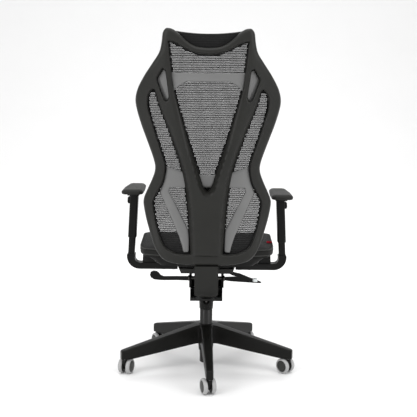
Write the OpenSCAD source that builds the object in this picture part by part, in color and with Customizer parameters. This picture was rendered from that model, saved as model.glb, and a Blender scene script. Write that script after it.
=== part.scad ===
// High-back mesh gaming chair on a five-leg caster base.
// Millimetres. Origin on the floor under the column's axis, +Z up, the sitter faces -Y,
// and the sitter's right hand is on the -X side.

/* [Base] */
// Reach of a leg from the column's axis to its outer end
leg_reach = 350; // [335:5:370]
// Height of the hub's top face
hub_top = 176; // [172:1:180]
// Height of a leg's top face at its outer end
tip_top = 96; // [92:1:100]
// Width of a leg where it meets the hub
leg_root_w = 46; // [42:1:50]
// Width of a leg at its outer end
leg_tip_w = 27; // [26:1:30]
// Turn of the whole base about the column, from +X
leg_start = 92.7; // [80:0.1:104]

/* [Casters] */
// Radius of a caster wheel
wheel_r = 30; // [29:0.5:30]
// Width of one caster wheel
wheel_w = 17; // [15:0.5:18]
// Distance from a caster's stem back to its axle
trail = 17; // [15:1:18]
// Direction each caster points, as a turn about its own stem
caster_turn = [16, -30, -117, -9, 50]; // [-360:1:360]

/* [Column] */
// Outer radius of the column's tube
tube_r = 25; // [24:0.5:25]
// Height of the top of the column's tube
tube_top = 235; // [230:1:236]
// Radius of the gas cylinder
gas_r = 14; // [13.5:0.5:14]

/* [Seat] */
// Half width of the seat at its widest
seat_half = 262; // [255:1:268]
// Half width of the seat at its rear corners
seat_rear_half = 246; // [240:1:252]
// Front edge of the seat, forward of the column
seat_front = 250; // [240:1:260]
// Rear edge of the seat at its middle, behind the column
seat_rear = 176; // [170:1:180]
// Height of the cushion's crown
seat_top = 506; // [500:1:510]

/* [Arms] */
// Distance of an arm's upright from the centre plane, at its foot
arm_x = 296; // [294:0.5:298]
// Lean of the uprights towards the seat, in degrees
arm_lean = 3; // [2.5:0.1:3.5]
// How far the right arm stands below the left one
right_arm_drop = 15; // [0:1:20]
// Length of an arm pad
pad_l = 240; // [220:5:250]
// Width of an arm pad
pad_w = 82; // [76:1:86]

/* [Back] */
// Height of the horns at the top corners of the back
back_top = 1311; // [1305:1:1315]
// Thickness of the ring of the back frame
ring_t = 24; // [20:1:26]
// Thickness of the stretched mesh sheet
mesh_t = 2; // [1.6:0.1:2.2]

/* [Hidden] */
$fn = 48;

black = [0.13, 0.13, 0.12];
frame_c = [0.22, 0.22, 0.21];
grey = [0.50, 0.50, 0.50];
tread_c = [0.76, 0.76, 0.76];
steel = [0.55, 0.55, 0.56];
fabric_c = [0.10, 0.10, 0.10];

leg_bot = 62;            // underside of a leg at its outer end
hub_bot = 102;           // underside of a leg at the hub
hub_r = 34;
stem_at = leg_reach - 13; // stem axis from the column
stem_r = 5.5;
axle_r = 4;
pivot = [50, 370];       // recline axis: y, z
seat_pivot = [-80, 395]; // seat tilt axis: y, z
eps = 0.01;

// ---------- curve helpers ----------
function cr(a, b, c, d, t) = 0.5 * ((2*b) + (c - a)*t + (2*a - 5*b + 4*c - d)*t*t + (3*b - a - 3*c + d)*t*t*t);
// An open smooth line through hand-set points, n steps to each span
function smooth(p, n = 3) = let (m = len(p)) concat(
  [for (i = [0:m-2], k = [0:n-1])
    cr(p[max(i-1, 0)], p[i], p[i+1], p[min(i+2, m-1)], k/n)], [p[m-1]]);
// A value read from a table of [position, value], smoothly
function seg(tab, s, i = 0) = (i >= len(tab)-2 || s < tab[i+1][0]) ? i : seg(tab, s, i+1);
function read(tab, s0) = let (m = len(tab), s = min(max(s0, tab[0][0]), tab[m-1][0]), i = seg(tab, s),
  t = (s - tab[i][0]) / (tab[i+1][0] - tab[i][0]))
  cr(tab[max(i-1, 0)][1], tab[i][1], tab[i+1][1], tab[min(i+2, m-1)][1], t);
// Right-hand points (x >= 0, from the bottom up) to a closed outline
function both(p) = concat(p, [for (i = [len(p)-1:-1:0]) if (p[i][0] > eps) [-p[i][0], p[i][1]]]);
function flip(p) = [for (i = [len(p)-1:-1:0]) [-p[i][0], p[i][1]]];

// ---------- the back's curved surface ----------
back_line = [[440, 208], [500, 200], [560, 190], [660, 180], [760, 188], [900, 215], [1050, 248], [1200, 275], [1320, 285]];
back_wrap = [[440, 22], [600, 30], [760, 26], [900, 34], [1060, 40], [1200, 26], [1320, 16]];
spine_out = [[440, 4], [480, 10], [600, 24], [760, 26], [900, 16], [1100, 4], [1320, 0]];
function S(x, z) = read(back_line, z) - read(back_wrap, z) * pow(x / 200, 2);

// A curved slab standing between two offsets from the back's surface
module slab(x1, z0, z1, nx, nz, lo, hi) {
  px = [for (i = [0:nx]) -x1 + 2*x1*i/nx];
  pz = [for (j = [0:nz]) z0 + (z1 - z0)*j/nz];
  w = nx + 1;
  n = w * (nz + 1);
  pts = concat([for (z = pz, x = px) [x, S(x, z) + lo(z), z]], [for (z = pz, x = px) [x, S(x, z) + hi(z), z]]);
  faces = concat(
    [for (j = [0:nz-1], i = [0:nx-1], k = [0:1]) let (a = j*w + i) k == 0 ? [a, a+1, a+w+1] : [a, a+w+1, a+w]],
    [for (j = [0:nz-1], i = [0:nx-1], k = [0:1]) let (a = n + j*w + i) k == 0 ? [a, a+w+1, a+1] : [a, a+w, a+w+1]],
    [for (i = [0:nx-1], k = [0:1]) let (a = i) k == 0 ? [a, a+n, a+n+1] : [a, a+n+1, a+1]],
    [for (i = [0:nx-1], k = [0:1]) let (a = nz*w + i) k == 0 ? [a, a+1, a+n+1] : [a, a+n+1, a+n]],
    [for (j = [0:nz-1], k = [0:1]) let (a = j*w) k == 0 ? [a, a+w, a+w+n] : [a, a+w+n, a+n]],
    [for (j = [0:nz-1], k = [0:1]) let (a = j*w + nx) k == 0 ? [a, a+n, a+w+n] : [a, a+w+n, a+w]]);
  polyhedron(points = pts, faces = [for (f = faces) [f[2], f[1], f[0]]], convexity = 8);
}
// An outline in the X-Z plane, carried straight through along Y
module through(p) translate([0, 500, 0]) rotate([90, 0, 0]) linear_extrude(500, convexity = 8) polygon(p);

// A thin curved sheet: rows of width w(z), its top edge bent to zt(u)
module sheet(z0, zt, w, nu, nz, lo, hi) {
  c = nu + 1;
  n = c * (nz + 1);
  pos = [for (j = [0:nz], i = [0:nu]) let (u = 2*i/nu - 1, z = z0(u) + (zt(u) - z0(u))*j/nz, x = u*w(z)) [x, z]];
  pts = concat([for (q = pos) [q[0], S(q[0], q[1]) + lo, q[1]]], [for (q = pos) [q[0], S(q[0], q[1]) + hi, q[1]]]);
  faces = concat(
    [for (j = [0:nz-1], i = [0:nu-1], k = [0:1]) let (a = j*c + i) k == 0 ? [a, a+1, a+c+1] : [a, a+c+1, a+c]],
    [for (j = [0:nz-1], i = [0:nu-1], k = [0:1]) let (a = n + j*c + i) k == 0 ? [a, a+c+1, a+1] : [a, a+c, a+c+1]],
    [for (i = [0:nu-1], k = [0:1]) let (a = i) k == 0 ? [a, a+n, a+n+1] : [a, a+n+1, a+1]],
    [for (i = [0:nu-1], k = [0:1]) let (a = nz*c + i) k == 0 ? [a, a+1, a+n+1] : [a, a+n+1, a+n]],
    [for (j = [0:nz-1], k = [0:1]) let (a = j*c) k == 0 ? [a, a+c, a+c+n] : [a, a+c+n, a+n]],
    [for (j = [0:nz-1], k = [0:1]) let (a = j*c + nu) k == 0 ? [a, a+n, a+c+n] : [a, a+c+n, a+c]]);
  polyhedron(points = pts, faces = [for (f = faces) [f[2], f[1], f[0]]], convexity = 8);
}

// ---------- outlines of the back, right-hand halves from the bottom up ----------
outer_half = smooth([[0, 455], [42, 455], [105, 459], [153, 470], [179, 492], [196, 522], [212, 567], [229, 625],
  [238, 676], [235, 701], [223, 730], [204, 772], [193, 808], [198, 845], [225, 922], [243, 971], [258, 1021],
  [264, 1061], [254, 1102], [228, 1148], [200, 1188], [174, 1227], [165, 1261], [160, 1296], [149, back_top]]);
top_half = smooth([[149, back_top], [138, 1305], [120, 1295], [98, 1281], [71, 1265], [40, 1251], [0, 1246]]);
ring_hole_half = concat(
  smooth([[0, 495], [91, 496], [124, 502], [153, 518], [170, 545], [188, 601], [200, 666], [199, 690], [183, 724],
    [163, 763], [154, 808], [158, 841], [185, 925], [203, 985], [216, 1034], [214, 1078], [196, 1101]]),
  [[183, 1137], [160, 1172], [136, 1190], [137, 1225], [139, 1262]],
  smooth([[130, 1264], [112, 1258], [90, 1246], [66, 1234], [38, 1225], [0, 1221]]));
arm_outer = smooth([[44, 456], [58, 492], [62, 530], [67, 600], [73, 679], [82, 753], [97, 822], [129, 922], [147, 971], [170, 1030], [190, 1095]], 2);
arm_inner = smooth([[140, 1268], [136, 1218], [130, 1165], [123, 1106], [103, 1030], [92, 992], [68, 911], [45, 842], [30, 796], [16, 750], [0, 729]], 2);
v_half = concat([[0, 456]], arm_outer, [[214, 1112], [196, 1158], [170, 1200], [158, 1240], [152, 1290]], arm_inner);
small_window = [[160, 1172], [182, 1137], [178, 1120], [156, 1062], [147, 1058], [140, 1073], [146, 1120], [152, 1165]];

// ---------- base ----------
module leg() {
  intersection() {
    translate([0, 30, 0]) rotate([90, 0, 0]) linear_extrude(60)
      polygon([[10, hub_bot + 4], [leg_reach - 42, leg_bot], [leg_reach, leg_bot],
        [leg_reach, tip_top - 5], [leg_reach - 5, tip_top], [hub_r + 4, hub_top - 3], [10, hub_top - 1]]);
    linear_extrude(200)
      polygon([[10, -leg_root_w/2], [leg_reach - 12, -leg_tip_w/2], [leg_reach, -leg_tip_w/2 + 6],
        [leg_reach, leg_tip_w/2 - 6], [leg_reach - 12, leg_tip_w/2], [10, leg_root_w/2]]);
  }
}
module leg_channel() difference() {
  intersection() {
    translate([0, 30, 0]) rotate([90, 0, 0]) linear_extrude(60)
      polygon([[60, 40], [leg_reach - 55, 40], [leg_reach - 55, tip_top + 4], [60, hub_top - 18]]);
    linear_extrude(200)
      polygon([[60, -leg_root_w/2 + 7], [leg_reach - 55, -leg_tip_w/2 + 3], [leg_reach - 55, leg_tip_w/2 - 3], [60, leg_root_w/2 - 7]]);
  }
  // one rib along the middle
  translate([50, -1.25, 0]) cube([leg_reach, 2.5, 200]);
}
module star_base() color(black) difference() {
  union() {
    translate([0, 0, hub_bot - 4]) cylinder(r = hub_r, h = hub_top - hub_bot + 4);
    translate([0, 0, 66]) cylinder(r1 = 29, r2 = hub_r - 2, h = hub_bot - 66);
    for (k = [0:4]) rotate(leg_start + 72*k) {
      leg();
      translate([stem_at, 0, leg_bot - 1]) cylinder(r = leg_tip_w/2 - 1.5, h = 12);
    }
  }
  cylinder(r = tube_r + 0.05, h = 300);
  for (k = [0:4]) rotate(leg_start + 72*k) {
    leg_channel();
    translate([stem_at, 0, 20]) cylinder(r = stem_r + 0.06, h = tip_top - 28);
  }
}
module column_tube() color(black) difference() {
  translate([0, 0, 18]) cylinder(r = tube_r, h = tube_top - 18);
  translate([0, 0, 22]) cylinder(r = tube_r - 2, h = 300);
  cylinder(r = 5.06, h = 40);
}
module tube_bush() color(grey) difference() {
  translate([0, 0, 165]) cylinder(r = tube_r - 2.05, h = tube_top - 165);
  translate([0, 0, 100]) cylinder(r = gas_r + 0.07, h = 200);
}
module piston_rod() color(steel) {
  translate([0, 0, 13]) cylinder(r = 5, h = 260);
  translate([0, 0, 12]) cylinder(r = 8, h = 3);
  translate([0, 0, 28.5]) cylinder(r = 7.5, h = 4);
  translate([0, 0, 270]) cylinder(r = gas_r - 1.56, h = 14);
}
module thrust_bearing() color(steel) difference() {
  translate([0, 0, 22.3]) cylinder(r = 13, h = 6);
  translate([0, 0, 20]) cylinder(r = 5.1, h = 12);
}
module gas_cylinder() color(black) {
  difference() {
    translate([0, 0, 95]) cylinder(r = gas_r, h = 243);
    translate([0, 0, 107]) cylinder(r = gas_r - 1.5, h = 216);
    translate([0, 0, 90]) cylinder(r = 5.06, h = 20);
  }
  translate([0, 0, 337]) cylinder(r = 4, h = 6);
}
module dust_shroud() color(black) difference() {
  rotate_extrude() polygon([[25.5, 237], [27, 237], [30, 295.8], [28.5, 295.8]]);
  // U-shaped window at the back
  translate([0, 60, 0]) rotate([90, 0, 0]) linear_extrude(60)
    union() { translate([-13, 272]) square([26, 30]); translate([0, 272]) circle(r = 13); }
}

// ---------- tilt mechanism ----------
module side_plate(x0, t) translate([x0, 0, 0]) rotate([90, 0, 90]) linear_extrude(t) polygon([
  [-115, 296], [120, 296], [120, 340], [112, 344], [84, 344], [78, 378], [66, 389], [34, 389], [22, 378], [17, 344],
  [14, 344], [14, 366], [8, 371], [-20, 371], [-26, 366], [-26, 344], [-64, 344], [-68, 402], [-74, 407], [-86, 407],
  [-92, 402], [-96, 344], [-115, 340]]);
module mech_housing() color(black) difference() {
  union() {
    side_plate(-62, 3);
    side_plate(59, 3);
    for (s = [-1, 1]) translate([s > 0 ? 61.5 : -67, 0, 0]) rotate([90, 0, 90]) linear_extrude(5.5)
      polygon([[16, 340], [84, 340], [79, 378], [67, 390], [33, 390], [21, 378]]);
    translate([-62, -115, 296]) cube([124, 235, 4]);
    translate([-62, -115, 296]) cube([124, 3, 44]);
    translate([-62, 117, 296]) cube([124, 3, 8]);
    translate([0, 0, 296]) cylinder(r = 21, h = 36);
    for (y = [-20, 17]) translate([0, y, 0]) for (x = [-59.5, 20]) translate([x, 0, 297]) cube([39.5, 3, 22]);
    // fork that carries the lift lever's cross pin
    for (y = [-17, 7]) translate([-68, y, 335]) cube([9, 4, 30]);
  }
  translate([0, 0, 280]) cylinder(r = gas_r + 0.03, h = 80);
  translate([-100, pivot[0], pivot[1]]) rotate([0, 90, 0]) cylinder(r = 8.02, h = 200);
  translate([-100, seat_pivot[0], seat_pivot[1]]) rotate([0, 90, 0]) cylinder(r = 6.02, h = 200);
  translate([-64, -6, 356]) translate([0, 30, 0]) rotate([90, 0, 0]) cylinder(r = 3.07, h = 60);
  translate([-70, -13.5, 344]) cube([30, 20, 30]);
  translate([50, -6, 356]) rotate([0, 90, 0]) cylinder(r = 5.07, h = 30);
  translate([0, -88, 280]) cylinder(r = 5.07, h = 30);
}
module pivot_shafts() color(steel) {
  translate([-68, pivot[0], pivot[1]]) rotate([0, 90, 0]) cylinder(r = 8, h = 136);
  translate([-71, pivot[0], pivot[1]]) rotate([0, 90, 0]) cylinder(r = 11, h = 4);
  translate([67, pivot[0], pivot[1]]) rotate([0, 90, 0]) cylinder(r = 11, h = 4);
  translate([-64, seat_pivot[0], seat_pivot[1]]) rotate([0, 90, 0]) cylinder(r = 6, h = 128);
  translate([-65, seat_pivot[0], seat_pivot[1]]) rotate([0, 90, 0]) cylinder(r = 8.5, h = 3);
  translate([62, seat_pivot[0], seat_pivot[1]]) rotate([0, 90, 0]) cylinder(r = 8.5, h = 3);
}
// Nine close coils round the recline shaft
module recline_spring() color(steel) translate([-18, pivot[0], pivot[1]]) rotate([0, 90, 0]) difference() {
  union() for (i = [0:8]) translate([0, 0, 2 + 4*i]) rotate_extrude() translate([11.2, 0]) circle(r = 2.2, $fn = 24);
  cylinder(r = 8.3, h = 80, center = true);
}
module tension_knob() color(black) translate([0, -88, 0]) {
  difference() {
    translate([0, 0, 266]) cylinder(r = 24, h = 27);
    for (a = [0:30:330]) rotate(a) translate([27.5, 0, 250]) cylinder(r = 5, h = 50);
  }
  translate([0, 0, 288]) cylinder(r = 5, h = 32);
  translate([0, 0, 304]) cylinder(r = 9, h = 8);
}
// Seat height: a blade on the sitter's right, lifted at its outer end
module lift_lever() color(black) {
  translate([0, -1, 0]) rotate([90, 0, 0]) linear_extrude(10)
    polygon([[-8, 353], [-8, 357], [-56, 361], [-78, 363], [-120, 365], [-164, 364], [-186, 357], [-214, 346],
      [-219, 342.5], [-214, 340], [-188, 341], [-150, 343], [-100, 346], [-70, 350]]);
  translate([-64, 10.5, 356]) rotate([90, 0, 0]) cylinder(r = 3, h = 33);
}
// Recline lock: a paddle on the sitter's left, turned about its own shaft
module tilt_lever() color(black) {
  translate([42, -6, 356]) rotate([0, 90, 0]) cylinder(r = 5, h = 40);
  translate([0, 0, 0]) rotate([90, 0, 0]) linear_extrude(12)
    polygon([[70, 348], [120, 349], [170, 348], [190, 349], [208, 351], [221, 359], [225, 370], [222, 380], [212, 385],
      [200, 384], [190, 378], [182, 368], [170, 363], [120, 364], [70, 364]]);
}

// ---------- seat carriage ----------
module slide_carriage() color(frame_c) difference() {
  union() {
    translate([0, 110, 0]) rotate([90, 0, 0]) linear_extrude(270) difference() {
      polygon([[-98, 401], [-110, 430], [110, 430], [98, 401]]);
      polygon([[-94.5, 400], [-101, 415], [101, 415], [94.5, 400]]);
      translate([-104, 419]) square([208, 20]);
    }
    for (y = [107, -160]) translate([0, y + 3, 0]) rotate([90, 0, 0]) linear_extrude(3)
      polygon([[-98, 401], [-103, 416], [103, 416], [98, 401]]);
    for (s = [-1, 1]) translate([s > 0 ? 50 : -56, seat_pivot[0] - 12, 384]) cube([6, 24, 33]);
    translate([-92, 74, 398]) cube([10, 3.5, 19]);
    translate([-92, 92.5, 398]) cube([10, 3.5, 19]);
  }
  translate([-100, seat_pivot[0], seat_pivot[1]]) rotate([0, 90, 0]) cylinder(r = 6.07, h = 200);
  translate([-87, 100, 404]) rotate([90, 0, 0]) cylinder(r = 3.07, h = 30);
  translate([-112, 76, 396]) cube([19, 18, 18]);
}
module slide_lever() color(black) {
  translate([0, 90, 0]) rotate([90, 0, 0]) linear_extrude(10)
    polygon([[-84, 408], [-91, 409], [-100, 404], [-130, 397], [-176, 378.5], [-180, 373.5], [-176, 370.5], [-150, 374],
      [-118, 386], [-100, 391], [-84, 399]]);
  translate([-87, 95.5, 404]) rotate([90, 0, 0]) cylinder(r = 3, h = 21);
}
module slide_lever_tip() color([0.75, 0.78, 0.78]) difference() {
  translate([-188, 85, 372.5]) rotate([0, 90, 0]) translate([0, 0, -9]) rotate_extrude()
    polygon([[0, 0], [6, 0], [8, 3], [8, 13], [5, 18], [0, 18]]);
  translate([0, 90.3, 0]) rotate([90, 0, 0]) linear_extrude(10.6)
    polygon([[-84, 408.3], [-91, 409.3], [-176, 378.8], [-180.3, 373.5], [-176, 370.2], [-150, 373.7]]);
}

// ---------- seat ----------
seat_half_line = smooth([[0, -seat_front], [120, -seat_front + 1], [210, -seat_front + 4], [246, -seat_front + 13],
  [seat_half + 2, -seat_front + 35], [seat_half + 4, -180], [seat_half + 2, -100], [seat_half, 0], [seat_half - 3, 70], [seat_rear_half, 118], [226, 134], [160, 152], [80, seat_rear - 5], [0, seat_rear]]);
module seat_plan(s) scale([s, s, 1]) polygon(both(seat_half_line));
function inset(s) = [for (q = both(seat_half_line)) [q[0]*s, q[1]*s]];
module slice(z, s, h = 0.5) translate([0, 0, z]) linear_extrude(h) polygon(inset(s));
pan_screw_at = [[150, 90], [-150, 90], [150, -120], [-150, -120], [60, -190], [-60, -190]];
arm_bolt_at = [[130, 10], [170, 10], [-130, 10], [-170, 10]];
module seat_pan() color(black) difference() {
  union() {
    hull() {
      translate([0, 0, 432]) linear_extrude(1) polygon([for (q = both(seat_half_line)) [q[0]*0.72, q[1]*0.84]]);
      translate([0, 0, 466]) linear_extrude(2) polygon([for (q = both(seat_half_line)) [q[0]*0.89, q[1]*0.95]]);
    }
    for (x = [-76, 56]) translate([x, -140, 420.4]) cube([20, 236, 14]);
  }
  // the shell is open on top, under the board
  difference() {
    hull() {
      translate([0, 0, 436]) linear_extrude(1) polygon([for (q = both(seat_half_line)) [q[0]*0.70, q[1]*0.82]]);
      translate([0, 0, 468]) linear_extrude(2) polygon([for (q = both(seat_half_line)) [q[0]*0.87, q[1]*0.93]]);
    }
    for (p = concat(pan_screw_at, arm_bolt_at)) translate([p[0], p[1], 430]) cylinder(r = 9, h = 60);
    for (x = [-80, 76]) translate([x, -160, 430]) cube([4, 270, 60]);
  }
  for (p = pan_screw_at) translate([p[0], p[1], 400]) cylinder(r = 2.6, h = 80);
  for (p = arm_bolt_at) translate([p[0], p[1], 400]) cylinder(r = 4.1, h = 46);
}
module seat_board() color(fabric_c) difference() {
  slice(468, 0.955, 6);
  for (p = pan_screw_at) translate([p[0], p[1], 400]) cylinder(r = 2.6, h = 72);
}
module seat_cushion() color(fabric_c) {
  slice(474.2, 0.985, 25.8);
  slice(480, 1, 14);
  slice(499.5, 0.955, seat_top - 499.5);
}
module pan_screws() color(steel) for (p = pan_screw_at) translate([p[0], p[1], 0]) {
  translate([0, 0, 429.5]) cylinder(r = 5, h = 2.5);
  translate([0, 0, 431]) cylinder(r = 2.5, h = 40);
}

// ---------- arms ----------
// Places its child in the frame of an upright, foot at the origin, +Z up its length
module upright_frame(s) mirror([s < 0 ? 1 : 0, 0, 0]) translate([arm_x, 10, 465]) rotate([0, -arm_lean, 0]) children();
function drop(s) = s < 0 ? right_arm_drop : 0;
module block(x, y, z0, z1) translate([-x/2, -y/2, z0]) cube([x, y, z1 - z0]);
module rounded(x, y, z0, z1, r) translate([0, 0, z0]) linear_extrude(z1 - z0) union() {
  square([x, y - 2*r], center = true);
  square([x - 2*r, y], center = true);
  for (a = [-1, 1], b = [-1, 1]) translate([a*(x/2 - r), b*(y/2 - r)]) circle(r = r);
}
module arm_bracket(s) color(black) difference() {
  mirror([s < 0 ? 1 : 0, 0, 0]) {
    translate([0, 31, 0]) rotate([90, 0, 0]) linear_extrude(42) polygon(concat(
      [[114, 400], [262, 400]], [for (a = [-85:10:-5]) [263 + 50*cos(a), 450 + 50*sin(a)]],
      [[313, 452], [312, 458], [280, 458], [281, 445]], [for (a = [-10:-20:-80]) [264 + 17*cos(a), 442 + 17*sin(a)]],
      [[262, 425], [114, 425]]));
    translate([0, 25, 0]) rotate([90, 0, 0]) linear_extrude(30) polygon([[198, 424], [232, 463], [250, 463], [252, 424]]);
    translate([114, -11, 424]) cube([72, 42, 7.7]);
  }
  upright_frame(s) block(25.7, 35.7, -30, 20);
  for (p = arm_bolt_at) translate([p[0], p[1], 390]) cylinder(r = 4.1, h = 60);
}
module arm_bracket_left() arm_bracket(1);
module arm_bracket_right() arm_bracket(-1);
module arm_upright(s) color(black) upright_frame(s) rounded(25.4, 35.4, -29.5, 155, 5);
module arm_upright_left() arm_upright(1);
module arm_upright_right() arm_upright(-1);
module arm_bolts() color(steel) for (p = arm_bolt_at) translate([p[0], p[1], 0]) {
  translate([0, 0, 396]) cylinder(r = 7, h = 4);
  translate([0, 0, 399]) cylinder(r = 4, h = 46);
}
module arm_sleeve(s) color(black) upright_frame(s) translate([0, 0, -drop(s)]) difference() {
  union() {
    rounded(32, 42, 60, 224, 6);
    translate([15, -11, 192]) cube([8, 22, 26]);
  }
  rounded(26, 36, 50, 218, 5.3);
  translate([17.5, -8, 195]) cube([10, 16, 20]);
}
module arm_sleeve_left() arm_sleeve(1);
module arm_sleeve_right() arm_sleeve(-1);
module arm_button(s) color(grey) upright_frame(s) translate([0, 0, -drop(s)]) translate([20.8, -7.6, 195.4]) cube([5, 15.2, 19.2]);
module arm_button_left() arm_button(1);
module arm_button_right() arm_button(-1);
// Level seat for the pad at the head of the sleeve
module pad_frame(s) upright_frame(s) translate([0, 0, 224 - drop(s)]) rotate([0, arm_lean, 0]) translate([0, -10, 0]) children();
module pad_plate(s) color(black) difference() {
  pad_frame(s) {
    rounded(46, 150, 6, 14.5, 10);
    translate([0, 10, 0]) rounded(40, 60, 0.5, 7, 8);
  }
  upright_frame(s) translate([0, 0, -drop(s)]) rounded(60, 80, 150, 224, 5);
}
module pad_plate_left() pad_plate(1);
module pad_plate_right() pad_plate(-1);
module pad_plan(d) polygon([[-pad_w/2 + 4 + d, -pad_l/2 + 16], [-pad_w/2 + 14 + d, -pad_l/2 + d], [pad_w/2 - 20, -pad_l/2 + d],
  [pad_w/2 - 8 - d, -pad_l/2 + 16], [pad_w/2 - d, 0], [pad_w/2 - d, pad_l/2 - 16], [pad_w/2 - 10 - d, pad_l/2 - d],
  [-pad_w/2 + 10 + d, pad_l/2 - d], [-pad_w/2 + d, pad_l/2 - 16], [-pad_w/2 + d, 0]]);
module arm_pad(s) color(black) pad_frame(s) hull() {
  translate([0, 0, 14.7]) linear_extrude(0.5) pad_plan(6);
  translate([0, 0, 20]) linear_extrude(8) pad_plan(0);
  translate([0, 0, 35]) linear_extrude(0.5) pad_plan(7);
}
module arm_pad_left() arm_pad(1);
module arm_pad_right() arm_pad(-1);

// ---------- back ----------
neck = smooth([[139, 1284], [118, 1278], [96, 1264], [68, 1250], [40, 1239], [0, 1234]], 2);
module neck_bead(q) translate([q[0], S(q[0], q[1]) + 17, q[1]]) sphere(r = 11, $fn = 16);
module back_frame() color(frame_c) difference() {
  union() {
    intersection() {
      slab(276, 440, 1330, 20, 34, function (z) mesh_t + 0.3, function (z) mesh_t + 0.3 + ring_t);
      difference() {
        through(both(concat(outer_half, top_half)));
        translate([0, 1, 0]) scale([1, 2, 1]) through(both(ring_hole_half));
      }
    }
    difference() {
      intersection() {
        slab(276, 440, 1330, 20, 34, function (z) 13 + 0.5*read(spine_out, z), function (z) mesh_t + 0.3 + ring_t + read(spine_out, z));
        through(both(v_half));
      }
      for (s = [0, 1]) mirror([s, 0, 0]) translate([0, 1, 0]) scale([1, 2, 1]) through(small_window);
    }
    // neck rail
    for (s = [0, 1]) mirror([s, 0, 0]) for (i = [0:len(neck)-2]) hull() { neck_bead(neck[i]); neck_bead(neck[i+1]); }
  }
  // pocket for the stem's tongue, and its bolts
  translate([-36.4, 211.6, 440]) cube([72.8, 8.8, 80.4]);
  for (x = [-24, 24], z = [468, 490]) translate([x, 0, z]) rotate([-90, 0, 0]) {
    translate([0, 0, 150]) cylinder(r = 7.4, h = 61.6, $fn = 24);
    cylinder(r = 4.3, h = 227, $fn = 24);
  }
}
module back_stem() color(frame_c) difference() {
  union() {
    translate([-44, 0, 0]) rotate([90, 0, 90]) linear_extrude(88)
      polygon(concat([for (a = [80:20:260]) [pivot[0] + 18*cos(a), pivot[1] + 18*sin(a)]],
        [[140, 338], [156, 326], [178, 325], [202, 335], [216, 353], [227, 383], [233, 415], [236, 454.5], [208, 454.5], [206, 425],
         [198, 404], [184, 393], [160, 389], [100, 388]]));
    translate([-36, 212, 440]) cube([72, 8, 80]);
  }
  translate([-100, pivot[0], pivot[1]]) rotate([0, 90, 0]) cylinder(r = 8.07, h = 200);
  // fork that clears the spring
  translate([-18.8, 0, 330]) cube([37.6, 72, 80]);
  // chamfered lower corners of the heel
  for (s = [-1, 1]) translate([s*44, 200, 326]) rotate([0, 45, 0]) cube([22, 150, 22], center = true);
  for (x = [-24, 24], z = [468, 490]) translate([x, 0, z]) rotate([-90, 0, 0]) cylinder(r = 4.1, h = 300);
}
module stem_bolts() color(steel) for (x = [-24, 24], z = [468, 490]) translate([x, 207.5, z]) rotate([-90, 0, 0]) {
  cylinder(r = 7, h = 4);
  translate([0, 0, 3]) cylinder(r = 4, h = 16);
}
lumbar_half = [[0, 742], [139, 740], [141, 725], [68, 584], [65, 558], [65, 508], [69, 502], [84, 501], [88, 505],
  [91, 522], [103, 558], [177, 722], [161, 763], [152, 808], [152, 822], [93, 802], [40, 793], [0, 790]];
module lumbar_support() color(grey) intersection() {
  slab(200, 480, 850, 14, 14, function (z) mesh_t + 0.8, function (z) 12);
  through(both(lumbar_half));
}
shoulder_half = [[0, 1126], [76, 1127], [98, 1115], [119, 1099], [136, 1060], [146, 1054], [157, 1058], [176, 1112], [182, 1136],
  [160, 1170], [148, 1164], [128, 1160], [76, 1158], [0, 1157]];
module shoulder_bar() color(grey) intersection() {
  slab(200, 1040, 1190, 14, 7, function (z) mesh_t + 0.8, function (z) 12);
  through(both(shoulder_half));
}
mesh_half_w = [[480, 150], [520, 180], [600, 208], [676, 222], [730, 206], [808, 172], [860, 180], [922, 206], [1000, 236],
  [1061, 246], [1110, 228], [1160, 194], [1227, 160], [1310, 148]];
function top_edge(u) = 1294 + 12*u*u;
module back_mesh() color(fabric_c) sheet(function (u) 480 + 6*u*u, function (u) top_edge(u) - 2, function (z) read(mesh_half_w, z), 14, 30, 0, mesh_t);
module head_panel() color(fabric_c) sheet(function (u) 1226 + 40*u*u, function (u) top_edge(u), function (z) 146 - 0.05*(1300 - z), 14, 6, -10, -0.3);

// ---------- casters ----------
// Places its child in the frame of caster k: stem on the Z axis, axle behind it along -X
module caster_frame(k) rotate(leg_start + 72*(k-1)) translate([stem_at, 0, 0]) rotate(caster_turn[k-1]) children();
module caster_fork(k) color(black) caster_frame(k) difference() {
  union() {
    translate([0, 7.5, 0]) rotate([90, 0, 0]) linear_extrude(15) polygon([[-trail - 11, 22], [-trail - 6, 17], [-trail + 6, 17],
      [-trail + 14, 24], [5, 43], [5, 56], [-12, 56], [-trail - 10, 44], [-trail - 13, 32]]);
    translate([0, 0, 42]) cylinder(r = 7.2, h = 16.5);
  }
  translate([0, 0, 44]) cylinder(r = stem_r, h = 40);
  translate([-trail, 0, wheel_r]) rotate([90, 0, 0]) cylinder(r = axle_r, h = 60, center = true);
}
module caster_pins(k) color(steel) caster_frame(k) {
  translate([0, 0, 44]) cylinder(r = stem_r, h = tip_top - 53);
  translate([-trail, 0, wheel_r]) rotate([90, 0, 0]) cylinder(r = axle_r, h = 2*wheel_w + 13, center = true);
}
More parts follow.
